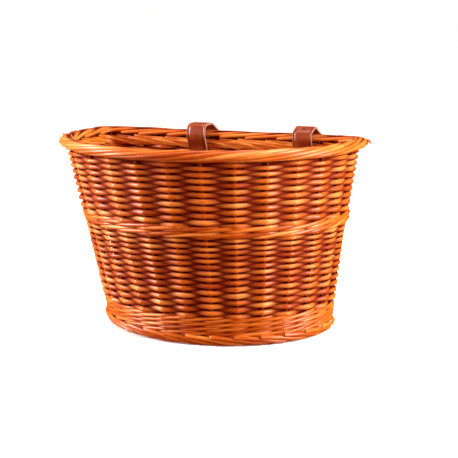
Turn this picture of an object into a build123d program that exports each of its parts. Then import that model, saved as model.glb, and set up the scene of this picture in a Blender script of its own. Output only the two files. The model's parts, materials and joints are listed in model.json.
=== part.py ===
# D-shaped wicker handlebar basket with two leather straps and roller buckles.
#
# Frame: millimetres, +Z up. The origin is at floor level, on the middle of the flat back
# wall. +X runs along the back wall, -Y points to the curved front, and the handlebar lies
# behind the back wall, at +Y.
#
# The wall is a woven sheet about a middle surface. Its plan is a D at every height: a flat
# back, two rounded back corners, two short straight sides and half an ellipse for the front.

import math
import os

from build123d import *

# ---------------------------------------------------------------- driving dimensions

rim_width = 380.0            # over the rim border, left to right
basket_height = 240.0        # floor to the top of the rim border
base_width = 280.0           # woven base panel, left to right

rim_depth = 219.4            # middle of the back wall to middle of the front wall, at the rim
base_depth = 142.7           # the same at floor level
side_length_rim = 49.0       # back wall to where the front curve starts, at the rim
side_length_base = 24.0      # the same at floor level
corner_radius = 17.0         # back corners, on the middle surface

wall_thickness = 11.0        # woven wall, over the rods
wale_thickness = 13.0        # the bolder wale bands
rim_overhang_out = 7.5       # rim border beyond the outer face of the wall
rim_overhang_in = 2.5        # and beyond its inner face
foot_overhang_out = 2.5
foot_overhang_in = 3.0

foot_height = 12.0
lower_wale_top = 36.0
lower_weave_top = 137.0
middle_wale_top = 151.0
rim_border_height = 14.0

stake_count = 26
stake_radius = 2.2
stake_clearance = 0.1
stake_foot_inset = 4.0       # stake ends stop this far above the floor
stake_rim_inset = 6.0        # and this far below the top of the rim

base_thickness = 7.0
base_stick_count = 6
base_stick_radius = 2.4
base_stick_margin = 13.0     # from the panel's edge to the first and last stick
base_seat = 1.5              # panel edge to the middle surface of the wall

strap_centres = {"left": -36.5, "right": 104.5}
strap_width = 25.0
strap_thickness = 2.5
strap_slot_clearance = 0.75
strap_side_clearance = 0.4
strap_stake_gap = 0.05       # least gap between a strap and the stakes beside it
slot_drop = 28.0             # heel bar down to where the strap passes through the wall
strap_wall_gap = 3.0         # strap run to the outer face of the back wall
tail_drop = 43.5             # heel bar down to the end of the strap's tail
strap_hole_radius = 1.6
strap_hole_spacing = 38.0
slot_bend = 4.0              # bends at the slot, on the strap's middle line
inner_gap = 1.5              # strap to the inner face of the wall
bulge_gap = 4.75             # strap to the inner face of the rim border
bulge_start_drop = 13.0      # below the rim border, where the strap turns away from the wall
bulge_start_bend = 20.0
bulge_rise = 6.0             # above the rim border's underside, where the loop is widest
bulge_bend = 12.0
crown_rise = 5.5             # above the rim border's top, the loop's front corner
crown_inset = 1.5            # from the widest point back to that corner
crown_bend = 6.0
strap_apex_height = 7.6      # top of the loop's middle line above the rim border
strap_apex_inset = 4.0       # from the rim border's outer face back to the top of the loop
strap_apex_bend = 16.0
strap_off_angle = -75.0      # where the strap leaves the handlebar, in degrees from +Y
strap_run_bend = 6.0         # where it turns down beside the wall

handlebar_radius = 12.7
handlebar_gap = 0.8          # handlebar to the rim border
handlebar_drop = 19.0        # top of the rim border down to the handlebar's middle

wire_radius = 1.5            # buckle frame
frame_side_gap = 0.7         # frame to each edge of the strap
buckle_length = 16.1         # heel bar to roller bar
buckle_drop = 10.7           # underside of the handlebar down to the roller bar's level
buckle_tilt = 6.5            # degrees that the frame leans away from the wall
frame_corner_radius = 3.0
fold_clearance = 0.3         # heel bar inside the leather fold
strap_gap = 0.1              # between leather layers that are riveted together
roller_radius = 2.6
roller_clearance = 0.08
roller_end_gap = 0.4
prong_radius = 1.1
prong_clearance = 0.1
prong_rest_gap = 0.3
prong_overrun = 1.5          # prong tip beyond the roller
notch_width = 3.4            # notch and slot that the prong works in
notch_clearance = 0.6
prong_slot_rise = 0.5        # heel bar up to the bottom of the prong's slot
prong_slot_length = 7.6
dive_drop = 2.6              # roller bar's level down to where the strap leaves the wall
dive_bend = 5.0
fold_over_rise = 1.5         # the strap's corners over the fold, above and below the heel bar
fold_over_drop = 3.0
fold_over_bend = 4.0
tail_settle_drop = 8.0       # heel bar down to where the tail lies on the rivet's level
leaf_bend_drop = 6.5         # heel bar down to where the folded leaf leaves the run
leaf_start_bend = 3.0
leaf_end_bend = 2.0
rivet_radius = 1.5
rivet_head_radius = 2.8
rivet_head_thickness = 0.8
rivet_hole_clearance = 0.05
rivet_tail_gap = 0.2         # rivet head to the tail that lies over it
rivet_drop = 19.0            # heel bar down to the rivet
leaf_drop = 23.0             # heel bar down to the end of the folded leaf
keeper_height = 7.0
keeper_thickness = 1.3
keeper_clearance = 0.3
keeper_side_clearance = 0.5
keeper_drop = 17.0           # heel bar down to the keeper's lower edge
keeper_corner_radius = 2.0
keeper_inner_radius = 0.7
roller_edge_radius = 0.3

# ---------------------------------------------------------------- derived sizes

wall_half = wall_thickness / 2
wale_half = wale_thickness / 2
rim_half_width = rim_width / 2 - rim_overhang_out - wall_half
base_half_width = base_width / 2 + base_seat
rim_border_bottom = basket_height - rim_border_height
base_bottom = foot_height
base_top = base_bottom + base_thickness

run_y = wall_half + strap_wall_gap + strap_thickness / 2
fold_radius = wire_radius + fold_clearance + strap_thickness / 2
heel_y = run_y + fold_radius
rim_outer_y = wall_half + rim_overhang_out
handlebar_y = rim_outer_y + handlebar_gap + handlebar_radius
handlebar_height = basket_height - handlebar_drop
heel_height = handlebar_height - handlebar_radius - buckle_drop - buckle_length
slot_height = heel_height - slot_drop
strap_end_height = heel_height - tail_drop
rivet_height = heel_height - rivet_drop
leaf_end_height = heel_height - leaf_drop
keeper_bottom = heel_height - keeper_drop
prong_slot_bottom = heel_height + prong_slot_rise
strap_wrap = handlebar_radius + strap_thickness / 2
inner_y = -(wall_half + inner_gap + strap_thickness / 2)
bulge_y = -(wall_half + rim_overhang_in + bulge_gap + strap_thickness / 2)
strap_apex = Vector(rim_outer_y - strap_apex_inset, basket_height + strap_apex_height)
over_fold_y = heel_y + fold_radius + strap_thickness + fold_clearance
leaf_y = run_y + strap_thickness + strap_gap
tail_y = leaf_y + strap_thickness + rivet_head_thickness + rivet_tail_gap


# ---------------------------------------------------------------- the D-shaped plan

def blend(at_base, at_rim, height):
    """A size that grows evenly from floor level to the rim."""
    return at_base + (at_rim - at_base) * height / basket_height


def wall_outline(height, grow=0.0):
    """The D outline of the wall's middle surface at one height, grown outwards."""
    half_width = blend(base_half_width, rim_half_width, height)
    depth = blend(base_depth, rim_depth, height)
    side = blend(side_length_base, side_length_rim, height)
    x = half_width + grow
    y = depth + grow
    corner = corner_radius + grow
    inset = half_width - corner_radius
    back = Line((-inset, grow), (inset, grow))
    right_corner = CenterArc((inset, -corner_radius), corner, 90, -90)
    right_side = Line((x, -corner_radius), (x, -side))
    right_front = EllipticalCenterArc((0, -side), x, y - side, 0, arc_size=-90)
    left_front = EllipticalCenterArc((0, -side), x, y - side, 270, arc_size=-90)
    left_side = Line((-x, -side), (-x, -corner_radius))
    left_corner = CenterArc((-inset, -corner_radius), corner, 180, -90)
    edges = [back, right_corner, right_side, right_front, left_front, left_side, left_corner]
    return Pos(0, 0, height) * Wire(edges)


def wall_block(bottom, top, grow):
    """A solid plug with the wall's plan between two heights."""
    return Solid.make_loft([wall_outline(bottom, grow), wall_outline(top, grow)], ruled=True)


def wall_ring(bottom, top, outside, inside):
    """A band of the wall, from inside to outside of the middle surface."""
    return wall_block(bottom, top, outside) - wall_block(bottom, top, -inside)


def wall_point(share, height):
    """A point on the middle surface, by its share of the way round from the back's middle."""
    outline = wall_outline(height)
    half_back = blend(base_half_width, rim_half_width, height) - corner_radius
    return outline @ ((share + half_back / outline.length) % 1)


def rod_between(start, end, radius):
    """A round rod from one point to another."""
    along = end - start
    return extrude(Plane(origin=start, z_dir=along) * Circle(radius), along.length)


# ---------------------------------------------------------------- stakes and their channels

def stake_shift(foot, head):
    """How far a stake stands aside, where a strap passes through the wall beside it."""
    room = strap_width / 2 + strap_stake_gap + stake_radius
    shifts = [0.0]
    for height in (slot_height - strap_thickness / 2, slot_height + strap_thickness / 2):
        at_strap = foot + (head - foot) * ((height - foot.Z) / (head.Z - foot.Z))
        for centre in strap_centres.values():
            apart = at_strap.X - centre
            if at_strap.Y > -corner_radius and abs(apart) < room:
                shifts.append(math.copysign(room, apart) - apart)
    return max(shifts, key=abs)


def stake_line(index):
    """Foot and head of one stake, which leans with the wall."""
    share = (index + 0.5) / stake_count
    foot = wall_point(share, stake_foot_inset)
    head = wall_point(share, basket_height - stake_rim_inset)
    aside = Vector(stake_shift(foot, head), 0, 0)
    return foot + aside, head + aside


def stake_side(head):
    """Which stretch of the wall a stake stands in."""
    if head.Y > -corner_radius:
        return "back"
    if head.Y < -rim_depth / 2:
        return "front"
    return "right" if head.X > 0 else "left"


def make_stakes():
    """The stakes of each stretch of wall, and a channel cutter for every stake."""
    groups = {"back": [], "left": [], "right": [], "front": []}
    cutters = []
    for index in range(stake_count):
        foot, head = stake_line(index)
        groups[stake_side(head)].append(rod_between(foot, head, stake_radius))
        cutters.append(rod_between(foot, head, stake_radius + stake_clearance))
    return groups, cutters


# ---------------------------------------------------------------- woven base

def base_stick_rows():
    """Places of the base sticks, from the back wall towards the front."""
    first = base_stick_margin
    last = base_depth - base_stick_margin
    step = (last - first) / (base_stick_count - 1)
    return [-(first + step * row) for row in range(base_stick_count)]


def make_base(cutters):
    """The woven base panel and the sticks that run through it from side to side."""
    middle = (base_bottom + base_top) / 2
    panel = wall_block(base_bottom, base_top, -base_seat)
    inside = wall_block(base_bottom, base_top, -wall_half)
    sticks = []
    for y in base_stick_rows():
        left_end = Vector(-base_half_width, y, middle)
        right_end = Vector(base_half_width, y, middle)
        sticks.append(rod_between(left_end, right_end, base_stick_radius) & inside)
        panel -= rod_between(left_end, right_end, base_stick_radius + stake_clearance)
    return panel - cutters, sticks


# ---------------------------------------------------------------- woven bands

def strap_slot(centre):
    """The gap between the rods of the back wall that a strap passes through."""
    width = strap_width + 2 * strap_side_clearance
    height = strap_thickness + 2 * strap_slot_clearance
    return Pos(centre, 0, slot_height) * Box(width, 4 * wall_half, height)


def make_bands(cutters):
    """Every woven or bordered band of the wall, from the foot to the rim."""
    foot = wall_ring(0, foot_height, wall_half + foot_overhang_out, wall_half + foot_overhang_in)
    lower_wale = wall_ring(foot_height, lower_wale_top, wale_half, wale_half)
    lower_weave = wall_ring(lower_wale_top, lower_weave_top, wall_half, wall_half)
    middle_wale = wall_ring(lower_weave_top, middle_wale_top, wale_half, wale_half)
    upper_weave = wall_ring(middle_wale_top, rim_border_bottom, wall_half, wall_half)
    rim = wall_ring(rim_border_bottom, basket_height, rim_outer_y, wall_half + rim_overhang_in)
    lower_wale -= wall_block(base_bottom, base_top, -base_seat)
    slots = [strap_slot(centre) for centre in strap_centres.values()]
    return {
        "foot_border": foot - cutters,
        "lower_wale": lower_wale - cutters,
        "lower_weave": lower_weave - cutters - slots,
        "middle_wale": middle_wale - cutters - slots,
        "upper_weave": upper_weave - cutters - slots,
        "rim_border": rim - cutters,
    }


# ---------------------------------------------------------------- straps

def strap_corners():
    """Corners of the strap's middle line in the YZ plane, each with its bend radius.

    They run from the heel bar down to the slot, up inside the basket, over the rim border,
    round the handlebar, behind the roller and over the fold to the end of the tail.
    """
    off = math.radians(strap_off_angle)
    bar = Vector(handlebar_y, handlebar_height)
    to_apex = strap_apex - bar
    on = math.atan2(to_apex.Y, to_apex.X) - math.acos(strap_wrap / to_apex.length)
    reach = strap_wrap / math.cos((on - off) / 2)
    bar_corner = bar + Vector(math.cos((on + off) / 2), math.sin((on + off) / 2)) * reach
    leave = bar + Vector(math.cos(off), math.sin(off)) * strap_wrap
    drop = (leave.X - run_y) * math.cos(off) / -math.sin(off)
    return [
        (Vector(run_y, heel_height), None),
        (Vector(run_y, slot_height), slot_bend),
        (Vector(inner_y, slot_height), slot_bend),
        (Vector(inner_y, rim_border_bottom - bulge_start_drop), bulge_start_bend),
        (Vector(bulge_y, rim_border_bottom + bulge_rise), bulge_bend),
        (Vector(bulge_y + crown_inset, basket_height + crown_rise), crown_bend),
        (strap_apex, strap_apex_bend),
        (bar_corner, strap_wrap),
        (Vector(run_y, leave.Y - drop), strap_run_bend),
        (Vector(run_y, heel_height + buckle_length - dive_drop), dive_bend),
        (Vector(over_fold_y, heel_height + fold_over_rise), fold_over_bend),
        (Vector(over_fold_y, heel_height - fold_over_drop), fold_over_bend),
        (Vector(tail_y, heel_height - tail_settle_drop), fold_over_bend),
        (Vector(tail_y, strap_end_height), None),
    ]


def strap_path():
    """The strap's middle line, from the end of its riveted leaf to the end of its tail."""
    outer_y = heel_y + fold_radius
    leaf = FilletPolyline(
        (leaf_y, leaf_end_height),
        (leaf_y, heel_height - leaf_bend_drop),
        (outer_y, heel_height - fold_over_rise),
        (outer_y, heel_height),
        radius=[leaf_start_bend, leaf_end_bend],
    )
    fold = CenterArc((heel_y, heel_height), fold_radius, 0, 180)
    corners = strap_corners()
    points = [(point.X, point.Y) for point, radius in corners]
    rest = FilletPolyline(*points, radius=[radius for point, radius in corners[1:-1]])
    return Wire(leaf.edges() + [fold] + rest.edges())


def strap_hole(path, centre, from_tail_end):
    """A cutter through the strap, square to it, at a distance along it from its tail end."""
    distance = path.length - from_tail_end
    point = path.position_at(distance, position_mode=PositionMode.LENGTH)
    heading = path.tangent_at(distance, position_mode=PositionMode.LENGTH)
    middle = Vector(centre, point.X, point.Y)
    across = Vector(0, -heading.Y, heading.X) * strap_thickness
    return rod_between(middle - across, middle + across, strap_hole_radius)


def prong_slot(centre):
    """The long hole in the tail that the prong comes through."""
    middle = prong_slot_bottom + prong_slot_length / 2
    plane = Plane(origin=(centre, heel_y, middle), x_dir=(0, 0, 1), z_dir=(0, 1, 0))
    return extrude(plane * SlotOverall(prong_slot_length, notch_width), 4 * strap_thickness)


def fold_notch(centre):
    """The notch in the fold that leaves room for the prong's ring."""
    ring_reach = wire_radius + prong_clearance + 2 * prong_radius + notch_clearance
    inner_face = run_y - strap_thickness
    outer_face = heel_y + ring_reach
    box = Box(notch_width, outer_face - inner_face, 2 * ring_reach)
    return Pos(centre, (inner_face + outer_face) / 2, heel_height) * box


def make_strap(path, centre):
    """One leather strap with its prong slot, fold notch, rivet hole and spare holes."""
    profile = Plane.YZ * trace(path.edges(), strap_thickness)
    strap = extrude(Pos(centre - strap_width / 2, 0, 0) * profile, strap_width)
    strap -= prong_slot(centre)
    strap -= fold_notch(centre)
    strap -= rivet_shaft(centre, rivet_radius + rivet_hole_clearance)
    engaged = prong_slot_bottom + prong_slot_length / 2 - strap_end_height
    for spare in (-1, 1, 2, 3):
        strap -= strap_hole(path, centre, engaged + spare * strap_hole_spacing)
    return strap


# ---------------------------------------------------------------- rivets and keepers

def rivet_shaft(centre, radius):
    """The rivet's shaft through both layers of the buckle end."""
    start = Vector(centre, run_y - strap_thickness / 2, rivet_height)
    end = Vector(centre, leaf_y + strap_thickness / 2, rivet_height)
    return rod_between(start, end, radius)


def make_rivet(centre):
    """A rivet with a flat head at each face of the leather."""
    rivet = rivet_shaft(centre, rivet_radius)
    for face_y, out in ((run_y - strap_thickness / 2, -1), (leaf_y + strap_thickness / 2, 1)):
        face = Vector(centre, face_y, rivet_height)
        head = rod_between(face, face + Vector(0, out * rivet_head_thickness, 0),
                           rivet_head_radius)
        outer_rim = head.edges().filter_by(GeomType.CIRCLE).sort_by(Axis.Y)[0 if out < 0 else -1]
        rivet += fillet(outer_rim, rivet_head_thickness / 2)
    return rivet


def make_keeper(centre):
    """A leather loop round the buckle end and the tail, free to slide on them."""
    near = run_y - strap_thickness / 2 - rivet_head_thickness - keeper_clearance
    far = tail_y + strap_thickness / 2 + keeper_clearance
    width = strap_width + 2 * keeper_side_clearance
    plane = Plane.XY.offset(keeper_bottom)
    middle = (centre, (near + far) / 2)
    wall = 2 * keeper_thickness
    outside = plane * Pos(*middle) * RectangleRounded(
        width + wall, far - near + wall, keeper_corner_radius)
    inside = plane * Pos(*middle) * RectangleRounded(width, far - near, keeper_inner_radius)
    return extrude(outside - inside, keeper_height)


# ---------------------------------------------------------------- buckles

def buckle_plane(centre):
    """The plane of a buckle frame: its origin is on the heel bar, its +Y runs to the roller."""
    tilt = math.radians(buckle_tilt)
    return Plane(origin=(centre, heel_y, heel_height), x_dir=(1, 0, 0),
                 z_dir=(0, -math.cos(tilt), math.sin(tilt)))


def make_frame(centre):
    """The wire frame, a rounded rectangle whose lower side is the heel bar."""
    width = strap_width + 2 * (frame_side_gap + wire_radius)
    outline = Pos(0, buckle_length / 2) * RectangleRounded(width, buckle_length,
                                                          frame_corner_radius)
    path = (buckle_plane(centre) * outline).wire()
    section = Plane(origin=path @ 0, z_dir=path % 0) * Circle(wire_radius)
    return sweep(section, path=path)


def make_roller(centre):
    """The tube that turns on the frame's upper bar."""
    width = strap_width + 2 * (frame_side_gap + wire_radius)
    length = width - 2 * frame_corner_radius - 2 * roller_end_gap
    bar = buckle_plane(centre).from_local_coords(Vector(0, buckle_length, 0))
    half = Vector(length / 2, 0, 0)
    tube = rod_between(bar - half, bar + half, roller_radius)
    tube = fillet(tube.edges().filter_by(GeomType.CIRCLE), roller_edge_radius)
    return tube - rod_between(bar - half, bar + half, wire_radius + roller_clearance)


def make_prong(centre):
    """The prong: a ring round the heel bar and a shank that rests over the roller."""
    plane = buckle_plane(centre)
    ring_radius = wire_radius + prong_clearance + prong_radius
    heel = Vector(centre, heel_y, heel_height)
    ring = Plane(origin=heel, z_dir=(1, 0, 0)) * Torus(ring_radius, prong_radius)
    start = heel + Vector(0, ring_radius, 0)
    lift = roller_radius + prong_rest_gap + prong_radius
    end = plane.from_local_coords(Vector(0, buckle_length + prong_overrun, -lift))
    shank = rod_between(start, end, prong_radius)
    return ring + shank + Pos(end) * Sphere(prong_radius)


# ---------------------------------------------------------------- assembly

def build_parts():
    """Every node of the basket, by name."""
    groups, cutters = make_stakes()
    panel, sticks = make_base(cutters)
    parts = make_bands(cutters)
    parts["base_weave"] = panel
    parts["base_sticks"] = Compound(children=sticks)
    for side, rods in groups.items():
        parts[side + "_stakes"] = Compound(children=rods)
    path = strap_path()
    for side, centre in strap_centres.items():
        parts["strap_" + side] = make_strap(path, centre)
        parts["strap_rivet_" + side] = make_rivet(centre)
        parts["keeper_" + side] = make_keeper(centre)
        parts["buckle_frame_" + side] = make_frame(centre)
        parts["buckle_roller_" + side] = make_roller(centre)
        parts["buckle_prong_" + side] = make_prong(centre)
    return parts


if __name__ == "__main__":
    os.makedirs("parts", exist_ok=True)
    for name, shape in build_parts().items():
        export_step(shape, f"parts/{name}.step")
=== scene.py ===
"""Handlebar basket: stained willow woven rod by rod on the frame's stakes, with two leather straps."""

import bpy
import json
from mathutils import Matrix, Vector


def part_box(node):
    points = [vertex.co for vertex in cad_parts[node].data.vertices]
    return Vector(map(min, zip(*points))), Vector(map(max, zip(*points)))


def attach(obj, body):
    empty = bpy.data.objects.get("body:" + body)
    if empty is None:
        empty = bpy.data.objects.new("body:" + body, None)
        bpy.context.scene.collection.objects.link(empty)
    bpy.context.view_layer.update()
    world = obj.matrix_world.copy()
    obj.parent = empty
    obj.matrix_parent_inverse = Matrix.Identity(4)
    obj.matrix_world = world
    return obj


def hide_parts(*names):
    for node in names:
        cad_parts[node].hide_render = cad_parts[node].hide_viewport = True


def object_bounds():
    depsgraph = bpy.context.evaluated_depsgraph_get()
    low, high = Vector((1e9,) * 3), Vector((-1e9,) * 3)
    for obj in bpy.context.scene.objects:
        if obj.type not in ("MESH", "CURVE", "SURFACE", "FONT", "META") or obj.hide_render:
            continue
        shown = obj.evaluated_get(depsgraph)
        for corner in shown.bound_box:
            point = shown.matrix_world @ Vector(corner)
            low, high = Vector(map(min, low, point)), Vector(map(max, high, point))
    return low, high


bl_info = {
    "name": "Handlebar Basket",
    "version": (1, 0, 0),
    "blender": (4, 5, 0),
    "location": "View3D > Sidebar > Basket",
    "description": "Weaves a willow handlebar basket with leather straps round a fixed frame",
    "category": "Object",
}

import functools
import json
import math
import typing

import bpy
import numpy as np
from bpy.props import FloatProperty, FloatVectorProperty, IntProperty, PointerProperty

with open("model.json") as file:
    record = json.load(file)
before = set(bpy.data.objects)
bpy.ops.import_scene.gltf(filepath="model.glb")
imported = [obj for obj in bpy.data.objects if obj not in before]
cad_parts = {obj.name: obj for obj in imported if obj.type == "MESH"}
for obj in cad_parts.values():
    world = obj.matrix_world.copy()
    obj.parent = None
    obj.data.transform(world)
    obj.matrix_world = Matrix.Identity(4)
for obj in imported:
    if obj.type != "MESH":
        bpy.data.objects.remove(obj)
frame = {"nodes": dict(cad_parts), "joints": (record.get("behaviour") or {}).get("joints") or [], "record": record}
CAD_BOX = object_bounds()
MM = 0.001


def length(name, description, millimetres):
    """A length setting, given in millimetres and kept in metres."""
    return FloatProperty(
        name=name, description=description, default=millimetres * MM,
        precision=5, unit="LENGTH", subtype="DISTANCE",
    )


def number(name, description, value, **kind):
    """A plain number setting, or one with a unit of its own."""
    return FloatProperty(name=name, description=description, default=value, **kind)


def colour(name, description, rgb):
    """A colour setting in linear red, green and blue."""
    return FloatVectorProperty(
        name=name, description=description, default=rgb, size=3, min=0, max=1, subtype="COLOR"
    )


class WallSizes(bpy.types.PropertyGroup):
    """The D-shaped wall that every woven row follows."""

    stakes: IntProperty(name="Stakes", description="Upright rods round the wall", default=26, min=6)
    stake_radius: length("Stake radius", "Radius of an upright rod", 2.2)
    corner_radius: length("Corner radius", "Bend of the wall at its two back corners", 17)
    side_at_foot: length("Side at the foot", "From the back to the front curve's start, at the floor", 24)
    side_at_rim: length("Side at the rim", "From the back to the front curve's start, at the rim", 49)
    wall_half: length("Half wall", "From the wall's middle to its woven face in CAD", 5.5)
    wale_half: length("Half wale", "From the wall's middle to the face of a wale in CAD", 6.5)


class RodSizes(bpy.types.PropertyGroup):
    """Willow rods of the weave, the wales, the borders and the base."""

    lower_rows: IntProperty(name="Lower rows", description="Rows of weave under the middle wale", default=26)
    upper_rows: IntProperty(name="Upper rows", description="Rows of weave over the middle wale", default=19)
    thick_rod: length("Thick rod", "Radius of a rod at the bottom of a band of plain weave", 2.8)
    thin_rod: length("Thin rod", "Radius of a rod at the top of the lower band of plain weave", 1.9)
    upper_thin_rod: length("Upper thin rod", "Radius of a rod at the top of the upper band", 2.2)
    wale_rod: length("Wale rod", "Radius of a rod in the lower wale", 1.95)
    band_rod: length("Band rod", "Radius of a rod in the bold middle wale", 2.2)
    rim_rod: length("Rim rod", "Radius of a rod in the rim border", 2.5)
    foot_rod: length("Foot rod", "Radius of a rod in the foot border", 2.6)
    base_rod: length("Base rod", "Radius of a rod in the base panel", 1.85)
    crowding: length("Crowding", "How far the plain weave closes up to the middle wale and the rim", 1.8)
    slot_height: length("Slot height", "Where the straps pass through the wall", 153.5)
    slot_room: length("Slot room", "From the strap's middle to the next row's middle", 3.6)


class WickerColours(bpy.types.PropertyGroup):
    """Stain of the willow, pith at its cut ends, and the painted shade between its rods."""

    pale: colour("Pale stain", "Colour of the palest rods", (0.86, 0.31, 0.060))
    warm: colour("Warm stain", "Colour of most rods", (0.66, 0.150, 0.010))
    deep: colour("Deep stain", "Colour of the darkest rods", (0.40, 0.055, 0.003))
    # Painted shade: the colour that hidden parts of the woven rods, and the stakes and sticks, are darkened
    # towards. It stands in for the shade between the rods.
    shade: colour("Shade", "Colour that stain gathers to deep between the rods", (0.14, 0.004, 0.0001))
    cut: colour("Cut end", "Pith at a cut end", (0.93, 0.60, 0.27))


class StrapSizes(bpy.types.PropertyGroup):
    """Leather straps that loop over the handlebar."""

    width: length("Width", "Width of a strap", 25)
    thickness: length("Thickness", "Thickness of the leather", 2.5)
    line_inset: length("Line inset", "From the edge of a strap to its pressed line", 2.6)
    line_depth: length("Line depth", "Depth of a pressed line", 0.45)
    hole_radius: length("Hole radius", "Radius of a punched hole", 1.6)
    hole_spacing: length("Hole spacing", "From one punched hole to the next", 38)
    inner_gap: length("Inner gap", "From the strap to the wall inside the basket", 1.5)
    layer_gap: length("Layer gap", "Between the two riveted layers", 0.1)
    over_fold_gap: length("Fold gap", "From the folded end to the strap that passes over it", 0.3)
    fold_radius: length("Fold radius", "Bend of the strap's middle line round the heel bar", 3.05)
    slot_bend: length("Slot bend", "Bend of the middle line where the strap goes through the wall", 4)
    leaf_drop: length("Leaf drop", "From the heel bar down to the end of the riveted leaf", 23)
    tail_drop: length("Tail drop", "From the heel bar down to the end of the tail", 43.5)
    rivet_drop: length("Rivet drop", "From the heel bar down to the rivet", 19)
    rivet_radius: length("Rivet hole", "Radius of the rivet's hole", 1.55)
    rivet_head: length("Rivet head", "Room for the rivet's head under the tail", 1.0)
    notch_width: length("Notch width", "Width of the notch and slot for the prong", 3.4)
    notch_length: length("Notch length", "Length of the notch over the fold", 11)
    slot_length: length("Slot length", "Length of the prong's slot in the tail", 7.6)
    slot_rise: length("Slot rise", "From the heel bar up to the middle of the prong's slot", 4.3)
    leave_angle: number(
        "Leave angle", "Where the strap leaves the handlebar", math.radians(-75),
        subtype="ANGLE", unit="ROTATION",
    )


class StrapColours(bpy.types.PropertyGroup):
    """Leather and metal of the straps."""

    face: colour("Face", "Waxed face of the leather", (0.21, 0.023, 0.002))
    worn: colour("Worn face", "Where the wax is rubbed and the leather is lighter", (0.42, 0.080, 0.006))
    raw: colour("Raw edge", "Cut edge of the leather", (0.45, 0.24, 0.17))
    nickel: colour("Nickel", "Plated buckle", (0.72, 0.70, 0.66))
    brass: colour("Brass", "Rivet", (0.72, 0.50, 0.20))


class StageSizes(bpy.types.PropertyGroup):
    """Floor, lights and camera."""

    azimuth: number("Azimuth", "Camera's turn to the right, in degrees", 23.03)
    elevation: number("Elevation", "Camera's height as an angle, in degrees", 10.74)
    distance: length("Distance", "From the camera to its target", 1277.4)
    target: FloatVectorProperty(
        name="Target", description="Point that the camera looks at", default=(0.0422, -0.0945, 0.1320),
        size=3, subtype="XYZ", unit="LENGTH",
    )
    lens: number("Lens", "Focal length", 84.0, unit="CAMERA")
    floor_colour: colour("Floor", "Plain pale floor and backdrop", (0.93, 0.93, 0.93))
    left_power: number("Left light", "Power of the light on the left", 60, unit="POWER")
    right_power: number("Right light", "Power of the light on the right", 58, unit="POWER")
    top_power: number("Top light", "Power of the light overhead", 12, unit="POWER")
    floor_light: number("Floor light", "Strength of the light on the floor alone", 3.7)
    sky: number("Sky", "Strength of the even light from all round", 0.45)
    sky_colour: colour("Sky colour", "Warm light that the basket's own willow throws back", (1.0, 0.30, 0.08))


# ---- the wall's shape -------------------------------------------------------------------------

GRID_ROWS = 12
GRID_COLUMNS = 2080
CORNER_POINTS = 16
FRONT_POINTS = 241


def wall_growth():
    """Half width and depth of the wall's middle line at the floor, and what each grows by with height."""
    wall = bpy.context.scene.basket_wall
    low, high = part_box("lower_wale"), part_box("upper_weave")
    low_half = low[1].x - wall.wale_half
    high_half = high[1].x - wall.wall_half
    low_depth = -low[0].y - wall.wale_half
    high_depth = -high[0].y - wall.wall_half
    rise = high[1].z - low[1].z
    half_slope = (high_half - low_half) / rise
    depth_slope = (high_depth - low_depth) / rise
    return (
        low_half - half_slope * low[1].z, half_slope,
        low_depth - depth_slope * low[1].z, depth_slope,
    )


def section(height, top):
    """Points and outward normals of the wall's middle line at a height, from the back's middle towards +X."""
    wall = bpy.context.scene.basket_wall
    half_foot, half_slope, depth_foot, depth_slope = wall_growth()
    half = half_foot + half_slope * height
    depth = depth_foot + depth_slope * height
    side = wall.side_at_foot + (wall.side_at_rim - wall.side_at_foot) * height / top
    corner = wall.corner_radius
    turn = np.linspace(0, math.pi / 2, CORNER_POINTS)
    sweep = np.linspace(0, math.pi, FRONT_POINTS)
    right_corner = np.stack([half - corner + corner * np.sin(turn), corner * (np.cos(turn) - 1)], 1)
    right_normal = np.stack([np.sin(turn), np.cos(turn)], 1)
    front = np.stack([half * np.cos(sweep), -side - (depth - side) * np.sin(sweep)], 1)
    front_normal = np.stack([np.cos(sweep) / half, -np.sin(sweep) / (depth - side)], 1)
    front_normal /= np.linalg.norm(front_normal, axis=1, keepdims=True)
    flip = np.array([-1.0, 1.0])
    back = np.zeros((1, 2))
    back_normal = np.array([[0.0, 1.0]])
    left_corner = (right_corner * flip)[::-1]
    left_normal = (right_normal * flip)[::-1]
    points = np.concatenate([back, right_corner, front, left_corner, back])
    normals = np.concatenate([back_normal, right_normal, front_normal, left_normal, back_normal])
    return points, normals


@functools.lru_cache(maxsize=1)
def wall_grid(sizes):
    """The wall's middle line and normals by height and share, kept for the sizes it was made with."""
    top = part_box("rim_border")[1].z
    even = np.arange(GRID_COLUMNS) / GRID_COLUMNS
    rows = []
    for row in range(GRID_ROWS + 1):
        points, normals = section(top * row / GRID_ROWS, top)
        steps = np.linalg.norm(np.diff(points, axis=0), axis=1)
        share = np.concatenate([[0], np.cumsum(steps)]) / steps.sum()
        rows.append(np.stack([np.interp(even, share, part) for part in (*points.T, *normals.T)], 1))
    return np.array(rows), top


def wall_place(share, height, offset):
    """Places at a share of the way round the wall, a height and an offset outwards, with outward normals."""
    wall = bpy.context.scene.basket_wall
    grid, top = wall_grid(tuple(getattr(wall, name) for name in WallSizes.__annotations__))
    column = (share % 1.0) * GRID_COLUMNS
    row = np.clip(height / top, 0, 1) * GRID_ROWS
    left = np.floor(column).astype(int)
    under = np.minimum(np.floor(row).astype(int), GRID_ROWS - 1)
    across = (column - left)[:, None]
    up = (row - under)[:, None]
    left %= GRID_COLUMNS
    right = (left + 1) % GRID_COLUMNS
    low = grid[under, left] * (1 - across) + grid[under, right] * across
    high = grid[under + 1, left] * (1 - across) + grid[under + 1, right] * across
    mixed = low * (1 - up) + high * up
    normals = np.zeros((len(mixed), 3))
    normals[:, :2] = mixed[:, 2:] / np.linalg.norm(mixed[:, 2:], axis=1, keepdims=True)
    places = np.column_stack([mixed[:, :2], height]) + normals * np.asarray(offset)[:, None]
    return places, normals


# ---- rods -------------------------------------------------------------------------------------


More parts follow.
